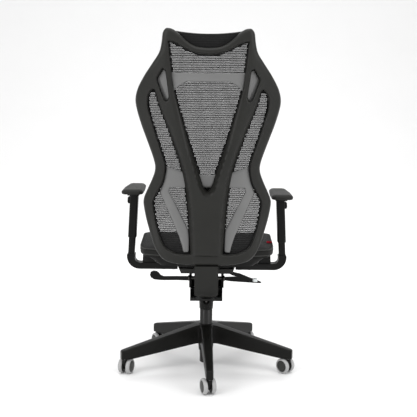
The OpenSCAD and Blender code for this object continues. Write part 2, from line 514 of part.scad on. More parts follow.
// Twin wheel: a soft tread on a dished hub, s is the side of the fork
module wheel(k, s) color(tread_c) caster_frame(k) translate([-trail, 0, wheel_r]) rotate([s > 0 ? -90 : 90, 0, 0])
  translate([0, 0, 8]) rotate_extrude() polygon([[axle_r + 0.06, 0], [wheel_r - 3, 0], [wheel_r, 3], [wheel_r, wheel_w - 6],
    [wheel_r - 2, wheel_w - 3], [wheel_r - 6, wheel_w - 1], [wheel_r - 9, wheel_w], [wheel_r - 11, wheel_w - 1.5],
    [9, wheel_w - 1], [axle_r + 0.06, wheel_w - 1]]);
module caster_fork_1() caster_fork(1);
module caster_fork_2() caster_fork(2);
module caster_fork_3() caster_fork(3);
module caster_fork_4() caster_fork(4);
module caster_fork_5() caster_fork(5);
module caster_pins_1() caster_pins(1);
module caster_pins_2() caster_pins(2);
module caster_pins_3() caster_pins(3);
module caster_pins_4() caster_pins(4);
module caster_pins_5() caster_pins(5);
module wheel_1a() wheel(1, 1);
module wheel_1b() wheel(1, -1);
module wheel_2a() wheel(2, 1);
module wheel_2b() wheel(2, -1);
module wheel_3a() wheel(3, 1);
module wheel_3b() wheel(3, -1);
module wheel_4a() wheel(4, 1);
module wheel_4b() wheel(4, -1);
module wheel_5a() wheel(5, 1);
module wheel_5b() wheel(5, -1);

star_base();
column_tube();
tube_bush();
piston_rod();
thrust_bearing();
gas_cylinder();
dust_shroud();
mech_housing();
pivot_shafts();
recline_spring();
tension_knob();
lift_lever();
tilt_lever();
slide_carriage();
slide_lever();
slide_lever_tip();
seat_pan();
seat_board();
seat_cushion();
pan_screws();
arm_bracket_left();
arm_bracket_right();
arm_upright_left();
arm_upright_right();
arm_bolts();
arm_sleeve_left();
arm_sleeve_right();
pad_plate_left();
pad_plate_right();
arm_pad_left();
arm_pad_right();
arm_button_left();
arm_button_right();
back_frame();
back_stem();
stem_bolts();
lumbar_support();
shoulder_bar();
back_mesh();
head_panel();
caster_fork_1();
caster_pins_1();
wheel_1a();
wheel_1b();
caster_fork_2();
caster_pins_2();
wheel_2a();
wheel_2b();
caster_fork_3();
caster_pins_3();
wheel_3a();
wheel_3b();
caster_fork_4();
caster_pins_4();
wheel_4a();
wheel_4b();
caster_fork_5();
caster_pins_5();
wheel_5a();
wheel_5b();
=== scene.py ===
import bpy, bmesh, math
import numpy as np
from mathutils import Vector, Matrix, geometry


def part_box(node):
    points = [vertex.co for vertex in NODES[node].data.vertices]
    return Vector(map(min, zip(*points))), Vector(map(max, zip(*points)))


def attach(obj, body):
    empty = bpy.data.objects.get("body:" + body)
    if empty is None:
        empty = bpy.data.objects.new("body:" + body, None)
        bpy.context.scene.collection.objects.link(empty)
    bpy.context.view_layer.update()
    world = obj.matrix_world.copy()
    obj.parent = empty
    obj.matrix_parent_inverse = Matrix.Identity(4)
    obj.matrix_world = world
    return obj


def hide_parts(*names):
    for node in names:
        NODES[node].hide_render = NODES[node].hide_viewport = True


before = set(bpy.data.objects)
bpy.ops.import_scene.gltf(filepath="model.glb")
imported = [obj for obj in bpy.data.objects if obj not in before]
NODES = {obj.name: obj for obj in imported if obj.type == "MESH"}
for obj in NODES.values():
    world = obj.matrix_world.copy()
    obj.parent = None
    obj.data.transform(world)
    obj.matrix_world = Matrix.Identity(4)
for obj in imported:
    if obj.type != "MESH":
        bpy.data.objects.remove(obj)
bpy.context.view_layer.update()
MM = 0.001
scene = bpy.context.scene

# ------------------------------------------------------------------ camera
cam_data = bpy.data.cameras.new("camera")
cam = bpy.data.objects.new("camera", cam_data)
scene.collection.objects.link(cam)
cam.location = (-0.0082, 3.2536, 1.1013)
cam.rotation_euler = (Matrix.Rotation(math.radians(180.144), 3, 'Z') @ Matrix.Rotation(math.radians(81.892), 3, 'X')
                      @ Matrix.Rotation(math.radians(0.587), 3, 'Z')).to_euler()
cam_data.shift_x = 0.0031
cam_data.lens = 72.3
cam_data.sensor_width = 36
cam_data.clip_end = 60
scene.camera = cam

# ------------------------------------------------------------------ curves of the back, as in the CAD
def cr(a, b, c, d, t):
    return 0.5 * ((2*b) + (c - a)*t + (2*a - 5*b + 4*c - d)*t*t + (3*b - a - 3*c + d)*t**3)

def smooth(p, n=6):
    p = [np.array(q, float) for q in p]
    m = len(p)
    out = []
    for i in range(m - 1):
        for k in range(n):
            out.append(cr(p[max(i-1, 0)], p[i], p[i+1], p[min(i+2, m-1)], k / n))
    return out + [p[-1]]

def read(tab, s):
    t_ = np.array(tab, float)
    s = np.clip(np.asarray(s, float), t_[0, 0], t_[-1, 0])
    i = np.clip(np.searchsorted(t_[:, 0], s, side='right') - 1, 0, len(t_) - 2)
    t = (s - t_[i, 0]) / (t_[i+1, 0] - t_[i, 0])
    g = lambda j: t_[np.clip(j, 0, len(t_) - 1), 1]
    return cr(g(i-1), g(i), g(i+1), g(i+2), t)

def both(p):
    p = [tuple(q) for q in p]
    return p + [(-x, z) for x, z in reversed(p) if x > 0.01]

BACK_LINE = [[440, 208], [500, 200], [560, 190], [660, 180], [760, 188], [900, 215], [1050, 248], [1200, 275], [1320, 285]]
BACK_WRAP = [[440, 22], [600, 30], [760, 26], [900, 34], [1060, 40], [1200, 26], [1320, 16]]
SPINE_OUT = [[440, 4], [480, 10], [600, 24], [760, 26], [900, 16], [1100, 4], [1320, 0]]

def S(x, z):
    return read(BACK_LINE, z) - read(BACK_WRAP, z) * (np.asarray(x, float) / 200)**2

OUTER = smooth([[0, 455], [42, 455], [105, 459], [153, 470], [179, 492], [196, 522], [212, 567], [229, 625],
                [238, 676], [235, 701], [223, 730], [204, 772], [193, 808], [198, 845], [225, 922], [243, 971], [258, 1021],
                [264, 1061], [254, 1102], [228, 1148], [200, 1188], [174, 1227], [165, 1261], [160, 1296], [149, 1311]])
TOP = smooth([[149, 1311], [141, 1311], [130, 1309], [118, 1303], [106, 1294], [94, 1283], [80, 1270], [62, 1257], [42, 1248.5], [20, 1245], [0, 1244]])
HOLE_LOW = smooth([[0, 495], [91, 496], [124, 502], [153, 518], [170, 545], [188, 601], [200, 666], [199, 690], [183, 724],
                   [163, 763], [154, 808], [158, 841], [185, 925], [203, 985], [216, 1034], [214, 1078], [196, 1101]])
HOLE_TOP = smooth([[139, 1262], [130, 1264], [112, 1258], [90, 1246], [66, 1234], [38, 1225], [0, 1221]])
ARM_OUT = smooth([[44, 456], [58, 492], [62, 530], [67, 600], [73, 679], [82, 753], [97, 822], [129, 922], [147, 971], [170, 1030], [190, 1095]])
ARM_IN = smooth([[140, 1268], [136, 1218], [130, 1165], [123, 1106], [103, 1030], [92, 992], [68, 911], [45, 842], [30, 796], [16, 750], [0, 729]])
WINDOW = [[160, 1172], [170, 1157], [182, 1137], [178, 1120], [167, 1090], [156, 1062], [147, 1058], [140, 1073], [143, 1096], [146, 1120], [149, 1142], [152, 1165]]
V_HALF = [(0, 456)] + [tuple(q) for q in ARM_OUT] + [(214, 1112), (196, 1158), (170, 1200), (158, 1240), (152, 1290)] + [tuple(q) for q in ARM_IN]
HOLE_HALF = [tuple(q) for q in HOLE_LOW] + [(183, 1137), (160, 1172), (136, 1190), (137, 1225)] + [tuple(q) for q in HOLE_TOP]

# ------------------------------------------------------------------ 2D tools
def resample(loop, step):
    p = np.array(loop, float)
    q = np.vstack([p, p[:1]])
    seg = np.linalg.norm(np.diff(q, axis=0), axis=1)
    keep = np.r_[True, seg[:-1] > 1e-6] if len(seg) else None
    s = np.r_[0, np.cumsum(seg)]
    n = max(8, int(round(s[-1] / step)))
    t = np.linspace(0, s[-1], n, endpoint=False)
    return np.c_[np.interp(t, s, q[:, 0]), np.interp(t, s, q[:, 1])]

def round_corners(loop, r, times=1):
    """Dense closed line with its corners eased by a short running mean."""
    p = resample(loop, 1.0)
    k = max(1, int(r))
    for _ in range(times):
        w = np.ones(2*k + 1) / (2*k + 1)
        ext = np.vstack([p[-k:], p, p[:k]])
        p = np.c_[np.convolve(ext[:, 0], w, 'valid'), np.convolve(ext[:, 1], w, 'valid')]
    return p

def inside(pts, loop):
    x, z = pts[:, 0], pts[:, 1]
    res = np.zeros(len(pts), bool)
    a = loop
    b = np.roll(loop, -1, axis=0)
    for (x1, z1), (x2, z2) in zip(a, b):
        if z1 == z2:
            continue
        hit = ((z1 > z) != (z2 > z)) & (x < (x2 - x1) * (z - z1) / (z2 - z1) + x1)
        res ^= hit
    return res

def dist(pts, loop):
    """Distance to a closed line."""
    a = loop
    b = np.roll(loop, -1, axis=0)
    d = np.full(len(pts), 1e9)
    ab = b - a
    L = np.maximum((ab**2).sum(1), 1e-12)
    for i in range(0, len(pts), 2000):
        p = pts[i:i+2000]
        ap = p[:, None, :] - a[None]
        t = np.clip((ap * ab[None]).sum(2) / L[None], 0, 1)
        q = ap - t[..., None] * ab[None]
        d[i:i+2000] = np.sqrt((q**2).sum(2).min(1))
    return d

def sstep(t):
    t = np.clip(t, 0, 1)
    return t * t * (3 - 2 * t)

def dome(d, R):
    return np.sqrt(np.maximum(0, 1 - (1 - np.clip(d / R, 0, 1))**2))

# ------------------------------------------------------------------ mesh tools
def new_obj(name, verts, faces, mm=True, smooth_shade=True, sharp=None):
    me = bpy.data.meshes.new(name)
    v = np.array(verts, float) * (MM if mm else 1)
    me.from_pydata([tuple(q) for q in v], [], [tuple(int(i) for i in f) for f in faces])
    me.validate()
    me.update()
    if smooth_shade:
        me.polygons.foreach_set("use_smooth", [True] * len(me.polygons))
        if sharp:
            me.set_sharp_from_angle(angle=math.radians(sharp))
    o = bpy.data.objects.new(name, me)
    scene.collection.objects.link(o)
    return o

def outward(o):
    bm = bmesh.new(); bm.from_mesh(o.data)
    bmesh.ops.recalc_face_normals(bm, faces=bm.faces)
    bm.to_mesh(o.data); bm.free(); o.data.update()
    return o

def plate(name, loops, step, grid, rear, front, rings=(1.0, 2.6, 5.0, 8.5)):
    """A closed shell between two surfaces over an outline with windows. rear and front take (points, d_outer, d_inner)."""
    loops = [resample(l, step) for l in loops]
    outer, holes = loops[0], loops[1:]
    allb = np.vstack(loops)
    def dists(p):
        do = dist(p, outer)
        di = np.full(len(p), 1e9)
        for h in holes:
            di = np.minimum(di, dist(p, h))
        return do, di
    def within(p):
        m = inside(p, outer)
        for h in holes:
            m &= ~inside(p, h)
        return m
    cand = []
    for l in loops:
        t = np.roll(l, -1, 0) - np.roll(l, 1, 0)
        t /= np.maximum(np.linalg.norm(t, axis=1), 1e-9)[:, None]
        n = np.c_[-t[:, 1], t[:, 0]]
        for off in rings:
            for sg in (1, -1):
                q = l + sg * off * n
                q = q[within(q)]
                if len(q):
                    do, di = dists(q)
                    cand.append(q[np.minimum(do, di) > off * 0.93])
    lo, hi = outer.min(0), outer.max(0)
    gx, gz = np.meshgrid(np.arange(lo[0], hi[0], grid), np.arange(lo[1], hi[1], grid * 0.866))
    gx[1::2] += grid / 2
    g = np.c_[gx.ravel(), gz.ravel()]
    g = g[within(g)]
    do, di = dists(g)
    g = g[np.minimum(do, di) > rings[-1] + grid * 0.55]
    pts = [allb]
    used = allb
    for c in cand + [g]:
        if len(c):
            pts.append(c)
    P = np.vstack(pts)
    # thin out points that crowd
    key = np.round(P / (step * 0.42)).astype(int)
    nb = len(allb)
    seen = {}
    keep = np.ones(len(P), bool)
    for i, k in enumerate(map(tuple, key)):
        if i < nb:
            seen[k] = i
        elif k in seen:
            keep[i] = False
        else:
            seen[k] = i
    P = P[keep]
    edges = []
    o = 0
    for l in loops:
        n = len(l)
        edges += [(o + i, o + (i + 1) % n) for i in range(n)]
        o += n
    vo, eo, fo, ov, oe, of_ = geometry.delaunay_2d_cdt([Vector(p) for p in P], edges, [], 0, 1e-5)
    V = np.array([[v.x, v.y] for v in vo])
    F = np.array([f for f in fo if len(f) == 3])
    c = V[F].mean(1)
    F = F[within(c)]
    do, di = dists(V)
    onb = np.minimum(do, di) < 1e-3
    do = np.where(onb & (do < 1e-3), 0, do); di = np.where(onb & (di < 1e-3), 0, di)
    yr, yf = rear(V, do, di), front(V, do, di)
    n = len(V)
    verts = np.vstack([np.c_[V[:, 0], yr, V[:, 1]], np.c_[V[:, 0], yf, V[:, 1]]])
    faces = [tuple(f) for f in F] + [tuple(n + i for i in f[::-1]) for f in F]
    cnt = {}
    for f in F:
        for a, b in ((f[0], f[1]), (f[1], f[2]), (f[2], f[0])):
            cnt[(a, b)] = cnt.get((a, b), 0) + 1
    for (a, b) in list(cnt):
        if (b, a) not in cnt:
            faces.append((a, n + a, n + b, b))
    o = new_obj(name, verts, faces, sharp=38)
    bm = bmesh.new(); bm.from_mesh(o.data)
    bmesh.ops.delete(bm, geom=[v for v in bm.verts if not v.link_faces], context='VERTS')
    bmesh.ops.recalc_face_normals(bm, faces=bm.faces)
    bm.to_mesh(o.data); bm.free()
    return o

def lathe(name, profile, seg=64, mats=None, centre=(0, 0), close=True):
    """profile: (radius, z) points round a closed section."""
    n = len(profile)
    verts, faces, idx = [], [], []
    for s in range(seg):
        a = 2 * math.pi * s / seg
        for r, z in profile:
            verts.append((centre[0] + r * math.cos(a), centre[1] + r * math.sin(a), z))
    for s in range(seg):
        t = (s + 1) % seg
        for i in range(n if close else n - 1):
            j = (i + 1) % n
            faces.append((s*n + i, t*n + i, t*n + j, s*n + j))
            idx.append(0 if mats is None else mats[i])
    o = new_obj(name, verts, faces, sharp=38)
    o["_idx"] = 1
    return outward(o), idx

def tube(name, path, r, closed=False, seg=8, squash_z=1.0):
    """A round cord along a line."""
    P = np.array(path, float)
    n = len(P)
    if closed:
        T = np.roll(P, -1, 0) - np.roll(P, 1, 0)
    else:
        T = np.gradient(P, axis=0)
    T /= np.linalg.norm(T, axis=1)[:, None]
    up = np.array([0, 0, 1.0])
    verts, faces = [], []
    for p, t in zip(P, T):
        s_ = np.cross(t, up)
        if np.linalg.norm(s_) < 1e-6:
            s_ = np.array([1.0, 0, 0])
        s_ /= np.linalg.norm(s_)
        u = np.cross(s_, t)
        for k in range(seg):
            a = 2 * math.pi * k / seg
            verts.append(p + r * (math.cos(a) * s_ + squash_z * math.sin(a) * u))
    m = n if closed else n - 1
    for i in range(m):
        j = (i + 1) % n
        for k in range(seg):
            l = (k + 1) % seg
            faces.append((i*seg + k, i*seg + l, j*seg + l, j*seg + k))
    if not closed:
        faces.append(tuple(range(seg)))
        faces.append(tuple((n-1)*seg + k for k in range(seg))[::-1])
    return outward(new_obj(name, verts, faces))

def bevel(o, w, seg=2, angle=32):
    m = o.modifiers.new("edges", 'BEVEL')
    m.width = w * MM
    m.segments = seg
    m.limit_method = 'ANGLE'
    m.angle_limit = math.radians(angle)
    m.use_clamp_overlap = True
    m.harden_normals = False
    w_ = o.modifiers.new("normals", 'WEIGHTED_NORMAL')
    w_.keep_sharp = False
    o.data.polygons.foreach_set("use_smooth", [True] * len(o.data.polygons))
    return o

def soften(node, w=0.8, seg=2, angle=32, name=None):
    """A copy of a CAD node's shape with eased edges, standing for the node."""
    src = NODES[node]
    bm = bmesh.new(); bm.from_mesh(src.data)
    bmesh.ops.remove_doubles(bm, verts=bm.verts, dist=2e-6)
    bmesh.ops.dissolve_limit(bm, angle_limit=math.radians(0.6), use_dissolve_boundaries=False, verts=bm.verts, edges=bm.edges)
    me = bpy.data.meshes.new(name or (node + "_shell"))
    bm.to_mesh(me); bm.free()
    o = bpy.data.objects.new(name or (node + "_shell"), me)
    scene.collection.objects.link(o)
    bevel(o, w, seg, angle)
    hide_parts(node)
    return o

# ------------------------------------------------------------------ materials
def principled(name):
    m = bpy.data.materials.new(name)
    m.use_nodes = True
    nt = m.node_tree
    b = nt.nodes.get("Principled BSDF")
    return m, nt, b

def link(nt, a, ao, b, bi):
    nt.links.new(a.outputs[ao], b.inputs[bi])

def mapped(nt, scale=(1, 1, 1), rot=(0, 0, 0)):
    tc = nt.nodes.new("ShaderNodeTexCoord")
    mp = nt.nodes.new("ShaderNodeMapping")
    mp.inputs["Scale"].default_value = scale
    mp.inputs["Rotation"].default_value = rot
    link(nt, tc, "Object", mp, "Vector")
    return mp

def plastic(name, col, rough=0.45, grain=900, bump=0.12, var=0.18, dist_=0.0002, spec=0.5, metal=0.0, rough_var=0.12, coat=0.0, edge_highlight=0.0):
    """Moulded or coated surface: fine grain bump, broad tone change and a painted highlight along sharp edges."""
    m, nt, b = principled(name)
    mp = mapped(nt)
    big = nt.nodes.new("ShaderNodeTexNoise"); big.inputs["Scale"].default_value = 7; big.inputs["Detail"].default_value = 5
    link(nt, mp, "Vector", big, "Vector")
    ramp = nt.nodes.new("ShaderNodeValToRGB")
    ramp.color_ramp.elements[0].position = 0.3; ramp.color_ramp.elements[1].position = 0.7
    lo = [c * (1 - var) for c in col] + [1]; hi = [min(1, c * (1 + var)) for c in col] + [1]
    ramp.color_ramp.elements[0].color = lo; ramp.color_ramp.elements[1].color = hi
    link(nt, big, "Fac", ramp, "Fac")
    # painted highlight: where Pointiness marks a sharp convex edge, the base colour is lifted towards a lighter tone
    if edge_highlight:
        geo = nt.nodes.new("ShaderNodeNewGeometry")
        highlight_ramp = nt.nodes.new("ShaderNodeValToRGB")
        highlight_ramp.color_ramp.elements[0].position = 0.54; highlight_ramp.color_ramp.elements[1].position = 0.66
        highlight_ramp.color_ramp.elements[0].color = (0, 0, 0, 1); highlight_ramp.color_ramp.elements[1].color = (edge_highlight, edge_highlight, edge_highlight, 1)
        link(nt, geo, "Pointiness", highlight_ramp, "Fac")
        mix = nt.nodes.new("ShaderNodeMixRGB")
        mix.inputs["Color2"].default_value = [min(1, c * 2.2 + 0.03) for c in col] + [1]
        link(nt, highlight_ramp, "Color", mix, "Fac"); link(nt, ramp, "Color", mix, "Color1")
        link(nt, mix, "Color", b, "Base Color")
    else:
        link(nt, ramp, "Color", b, "Base Color")
    fine = nt.nodes.new("ShaderNodeTexVoronoi"); fine.inputs["Scale"].default_value = grain
    link(nt, mp, "Vector", fine, "Vector")
    fn = nt.nodes.new("ShaderNodeTexNoise"); fn.inputs["Scale"].default_value = grain * 0.6; fn.inputs["Detail"].default_value = 3
    link(nt, mp, "Vector", fn, "Vector")
    add = nt.nodes.new("ShaderNodeMath"); add.operation = 'ADD'
    link(nt, fine, "Distance", add, 0); link(nt, fn, "Fac", add, 1)
    bp = nt.nodes.new("ShaderNodeBump"); bp.inputs["Strength"].default_value = bump; bp.inputs["Distance"].default_value = dist_
    link(nt, add, "Value", bp, "Height"); link(nt, bp, "Normal", b, "Normal")
    rr = nt.nodes.new("ShaderNodeMapRange")
    rr.inputs["To Min"].default_value = max(0.02, rough - rough_var); rr.inputs["To Max"].default_value = min(1, rough + rough_var)
    link(nt, big, "Fac", rr, "Value"); link(nt, rr, "Result", b, "Roughness")
    b.inputs["Metallic"].default_value = metal
    b.inputs["Specular IOR Level"].default_value = spec
    b.inputs["Coat Weight"].default_value = coat
    b.inputs["Coat Roughness"].default_value = 0.12
    return m

def brushed(name, col, rough=0.3, axis=2):
    m, nt, b = principled(name)
    sc = [900, 900, 900]; sc[axis] = 12
    mp = mapped(nt, tuple(sc))
    n = nt.nodes.new("ShaderNodeTexNoise"); n.inputs["Scale"].default_value = 1; n.inputs["Detail"].default_value = 4
    link(nt, mp, "Vector", n, "Vector")
    rp = nt.nodes.new("ShaderNodeValToRGB")
    rp.color_ramp.elements[0].color = [c * 0.75 for c in col] + [1]; rp.color_ramp.elements[1].color = [min(1, c * 1.15) for c in col] + [1]
    link(nt, n, "Fac", rp, "Fac"); link(nt, rp, "Color", b, "Base Color")
    bp = nt.nodes.new("ShaderNodeBump"); bp.inputs["Strength"].default_value = 0.1; bp.inputs["Distance"].default_value = 0.0001
    link(nt, n, "Fac", bp, "Height"); link(nt, bp, "Normal", b, "Normal")
    rr = nt.nodes.new("ShaderNodeMapRange"); rr.inputs["To Min"].default_value = rough - 0.1; rr.inputs["To Max"].default_value = rough + 0.15
    link(nt, n, "Fac", rr, "Value"); link(nt, rr, "Result", b, "Roughness")
    b.inputs["Metallic"].default_value = 1.0
    return m

def fabric(name, col, pitch=1.6, bump=0.6, rough=0.9, sheen=0.25, var=0.35, horizontal=False):
    """Woven or knitted cloth: two crossing yarn waves, slubs, and a soft sheen."""
    m, nt, b = principled(name)
    k = 2 * math.pi / (pitch * MM) / 20
    mp = mapped(nt)
    waves = []
    for d in ('X', 'Z') if horizontal else ('X', 'Y'):
        w = nt.nodes.new("ShaderNodeTexWave"); w.wave_type = 'BANDS'; w.bands_direction = d
        w.inputs["Scale"].default_value = k * (0.6 if (horizontal and d == 'Z') else 1)
        w.inputs["Distortion"].default_value = 1.2; w.inputs["Detail"].default_value = 1.5; w.inputs["Detail Scale"].default_value = 2.5
        link(nt, mp, "Vector", w, "Vector"); waves.append(w)
    mx = nt.nodes.new("ShaderNodeMath"); mx.operation = 'MAXIMUM'
    link(nt, waves[0], "Fac", mx, 0); link(nt, waves[1], "Fac", mx, 1)
    sl = nt.nodes.new("ShaderNodeTexNoise"); sl.inputs["Scale"].default_value = 260; sl.inputs["Detail"].default_value = 4
    link(nt, mp, "Vector", sl, "Vector")
    mul = nt.nodes.new("ShaderNodeMath"); mul.operation = 'MULTIPLY'
    link(nt, mx, "Value", mul, 0); link(nt, sl, "Fac", mul, 1)
    rp = nt.nodes.new("ShaderNodeValToRGB")
    rp.color_ramp.elements[0].position = 0.15; rp.color_ramp.elements[1].position = 0.75
    rp.color_ramp.elements[0].color = [c * (1 - var) for c in col] + [1]; rp.color_ramp.elements[1].color = [min(1, c * (1 + 2 * var)) for c in col] + [1]
    link(nt, mul, "Value", rp, "Fac"); link(nt, rp, "Color", b, "Base Color")
    bp = nt.nodes.new("ShaderNodeBump"); bp.inputs["Strength"].default_value = bump; bp.inputs["Distance"].default_value = 0.0004
    link(nt, mul, "Value", bp, "Height"); link(nt, bp, "Normal", b, "Normal")
    rr = nt.nodes.new("ShaderNodeMapRange"); rr.inputs["To Min"].default_value = rough - 0.12; rr.inputs["To Max"].default_value = min(1, rough + 0.08)
    link(nt, sl, "Fac", rr, "Value"); link(nt, rr, "Result", b, "Roughness")
    b.inputs["Sheen Weight"].default_value = sheen
    b.inputs["Sheen Roughness"].default_value = 0.5
    b.inputs["Specular IOR Level"].default_value = 0.12
    return m

M_FRAME = plastic("frame_plastic", (0.0135, 0.0135, 0.012), rough=0.42, grain=1100, bump=0.10, var=0.08, edge_highlight=0.35, spec=0.22)
M_STEM = plastic("stem_plastic", (0.011, 0.011, 0.0098), rough=0.40, grain=1100, bump=0.10, var=0.08, edge_highlight=0.3, spec=0.2)
M_BASE = plastic("base_nylon", (0.005, 0.005, 0.0044), rough=0.38, grain=1000, bump=0.10, var=0.12, edge_highlight=0.5, spec=0.14)
M_GREY = plastic("grey_plastic", (0.135, 0.135, 0.134), rough=0.24, grain=1500, bump=0.03, var=0.05, rough_var=0.06, coat=0.3, edge_highlight=0.2, spec=0.4)
M_MECH = plastic("mech_paint", (0.0036, 0.0036, 0.0033), rough=0.40, grain=1400, bump=0.08, var=0.2, edge_highlight=0.4, spec=0.12)
M_ARM = plastic("arm_plastic", (0.0045, 0.0045, 0.0042), rough=0.36, grain=1200, bump=0.08, var=0.12, edge_highlight=0.35, spec=0.14)
M_LEVER = plastic("lever_plastic", (0.0045, 0.0045, 0.0042), rough=0.33, grain=1200, bump=0.06, var=0.12, edge_highlight=0.35, spec=0.14)
M_PAD = plastic("pad_pu", (0.015, 0.015, 0.0138), rough=0.55, grain=800, bump=0.22, var=0.12, rough_var=0.08, spec=0.16)
M_TREAD = plastic("caster_tread", (0.35, 0.35, 0.35), rough=0.40, grain=700, bump=0.05, var=0.06, spec=0.35)
M_CAP = plastic("caster_cap", (0.03, 0.03, 0.028), rough=0.42, grain=900, bump=0.08, var=0.1, edge_highlight=0.3, spec=0.2)
M_CAST = plastic("caster_nylon", (0.005, 0.005, 0.0046), rough=0.42, grain=900, bump=0.08, var=0.1, spec=0.14)
M_PAN = plastic("pan_plastic", (0.0045, 0.0045, 0.0042), rough=0.5, grain=800, bump=0.2, var=0.12, edge_highlight=0.3, spec=0.12)
M_CLEAR = plastic("clear_plastic", (0.72, 0.76, 0.76), rough=0.25, grain=500, bump=0.03, var=0.04)
M_STEEL = brushed("zinc_steel", (0.55, 0.55, 0.56), 0.3)
M_ROD = brushed("gas_cylinder_paint", (0.10, 0.095, 0.09), 0.32)
M_SEAT = fabric("seat_fabric", (0.0042, 0.0042, 0.004), pitch=2.4, bump=0.8, var=0.4, sheen=0.06)
M_BAND = fabric("seat_band", (0.015, 0.015, 0.0142), pitch=1.6, bump=0.5, var=0.25, sheen=0.06)
M_HEAD = fabric("head_fabric", (0.019, 0.0178, 0.017), pitch=3.4, bump=1.0, var=0.85, horizontal=True, sheen=0.06)
M_MESH = fabric("mesh_yarn", (0.012, 0.012, 0.012), pitch=1.3, bump=0.5, var=0.4, sheen=0.05, horizontal=True)
M_PIPE = fabric("piping", (0.045, 0.045, 0.043), pitch=1.2, bump=0.4, var=0.2, sheen=0.06)
M_RIB = fabric("mesh_rib", (.0060, .0060, .0060), pitch=1.3, bump=0.5, var=0.3, sheen=0.04, horizontal=True)
M_TUBE = plastic("tube_paint", (.0150, .0145, .0140), rough=0.34, grain=1400, bump=0.06, var=0.1, spec=.25)
M_TAG = fabric("tag_cloth", (0.42, 0.015, 0.03), pitch=0.8, bump=0.3, var=0.2, sheen=0.1)

def paint(o, *mats):
    o.data.materials.clear()
    for m in mats:
        o.data.materials.append(m)
    return o

# every CAD node that stays visible gets its finish
CAD_MAT = {"tube_bush": M_GREY, "piston_rod": M_STEEL, "thrust_bearing": M_STEEL, "gas_cylinder": M_ROD, "pivot_shafts": M_ROD,
           "recline_spring": M_STEEL, "pan_screws": M_STEEL, "arm_bolts": M_STEEL, "stem_bolts": M_STEEL, "seat_board": M_BAND}
for k in range(1, 6):
    CAD_MAT["caster_pins_%d" % k] = M_STEEL
for n, o in NODES.items():
    paint(o, CAD_MAT.get(n, M_MECH))

# ------------------------------------------------------------------ back frame
outer_loop = round_corners(both([tuple(q) for q in OUTER] + [tuple(q) for q in TOP][1:]), 3)
hole = np.array(both(HOLE_HALF))
vloop = np.array(both(V_HALF))
arm_out_r = [tuple(q) for q in ARM_OUT]; arm_in_r = [tuple(q) for q in ARM_IN]

# the windows, each a closed line
def cut_at(line, z, above=True):
    return [q for q in line if (q[1] >= z if above else q[1] <= z)]
# side window: ring's inner edge against the arm's outer edge
low = [tuple(q) for q in HOLE_LOW]
i0 = next(i for i, q in enumerate(low) if q[0] > 62)
side = low[i0:] + [q for q in reversed(arm_out_r) if q[1] > 497]
side_r = round_corners(side, 4)
side_l = side_r * [-1, 1]
# centre window: arms' inner edges under the neck rail
top_in = [tuple(q) for q in HOLE_TOP]
centre_half = list(reversed([q for q in arm_in_r])) + top_in[1:]
centre = round_corners(both(centre_half), 4)
win_r = round_corners(WINDOW, 3)
win_l = win_r * [-1, 1]
hole_loop = resample(hole, 3.0)
v_loop = resample(vloop, 3.0)

def v_in(p):
    d = dist(p, v_loop)
    return np.where(inside(p, v_loop), d, -d)

def hole_in(p):
    d = dist(p, hole_loop)
    return np.where(inside(p, hole_loop), d, -d)

def frame_rear(p, do, di):
    F = dome(do, 15) * (0.25 + 0.75 * dome(di, 6))
    F = np.where(do < 1e-6, 0, F)
    raise_ = read(SPINE_OUT, p[:, 1]) * sstep((v_in(p) + 2) / 20) * (0.3 + 0.7 * sstep((p[:, 1] - 490) / 9))
    base = 2.3 + 24 * (0.34 + 0.66 * F)
    return S(p[:, 0], p[:, 1]) + base + raise_

def frame_front(p, do, di):
    h = hole_in(p)
    lift = (10.7 + 0.5 * read(SPINE_OUT, p[:, 1])) * sstep((h + 1) / 7)
    edge = 1.6 * (1 - dome(np.minimum(do, di), 2.5))
    return S(p[:, 0], p[:, 1]) + 2.3 + lift + edge

frame_piece = plate("back_frame_shell", [outer_loop, centre, side_r, side_l, win_r, win_l], 3.2, 7.0, frame_rear, frame_front)
paint(frame_piece, M_FRAME)
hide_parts("back_frame"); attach(frame_piece, "back")

# ------------------------------------------------------------------ grey supports
LUMBAR = [[0, 742], [139, 740], [141, 725], [68, 584], [65, 558], [65, 508], [69, 502], [84, 501], [88, 505],
          [91, 522], [103, 558], [177, 722], [161, 763], [152, 808], [152, 822], [93, 802], [40, 793], [0, 790]]
SHOULDER = [[0, 1126], [76, 1127], [98, 1115], [119, 1099], [136, 1060], [146, 1054], [157, 1058], [176, 1112], [182, 1136],
            [160, 1170], [148, 1164], [128, 1160], [76, 1158], [0, 1157]]
for nm, half, r_ in (("lumbar_support", LUMBAR, 3), ("shoulder_bar", SHOULDER, 3)):
    lp = round_corners(both(half), r_)
    pc = plate(nm + "_shell", [lp], 3.0, 8.0,
               lambda p, do, di: S(p[:, 0], p[:, 1]) + 3.4 + 8.4 * (0.30 + 0.70 * dome(do, 6)),
               lambda p, do, di: S(p[:, 0], p[:, 1]) + 3.0 + 0.0 * do, rings=(0.8, 2.0, 4.0))
    paint(pc, M_GREY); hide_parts(nm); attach(pc, "back")

